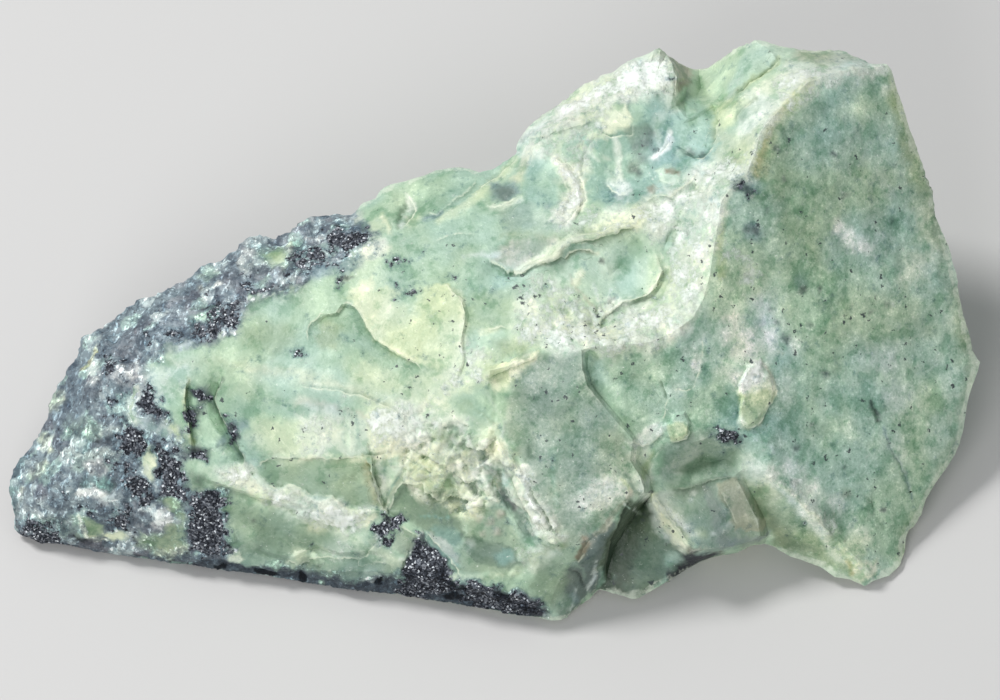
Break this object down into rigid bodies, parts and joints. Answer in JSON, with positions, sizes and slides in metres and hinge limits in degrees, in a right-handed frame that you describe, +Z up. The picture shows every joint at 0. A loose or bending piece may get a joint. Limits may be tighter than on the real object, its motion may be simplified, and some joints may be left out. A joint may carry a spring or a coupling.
{
  "type": "raw serpentinite stone",
  "caption": "Raw broken serpentinite: a wedge-shaped pale green stone with a dark granular crust at the left end, flaked ledges, a tall ridge and a broad smooth break; lies on a flat break.",
  "frame": {"origin": "on the flat break the stone lies on, under the middle of its bounding box", "axes": "+X along the stone's length, from the crusted end to the broad face; +Y to the back; +Z up"},
  "size_m": [0.0974, 0.0516, 0.0338],
  "materials": {
    "serpentine": "waxy pale green with bruised white patches and a dark granular crust"
  },
  "bodies": {
    "root": {"stone": "serpentine"}
  },
  "joints": []
}
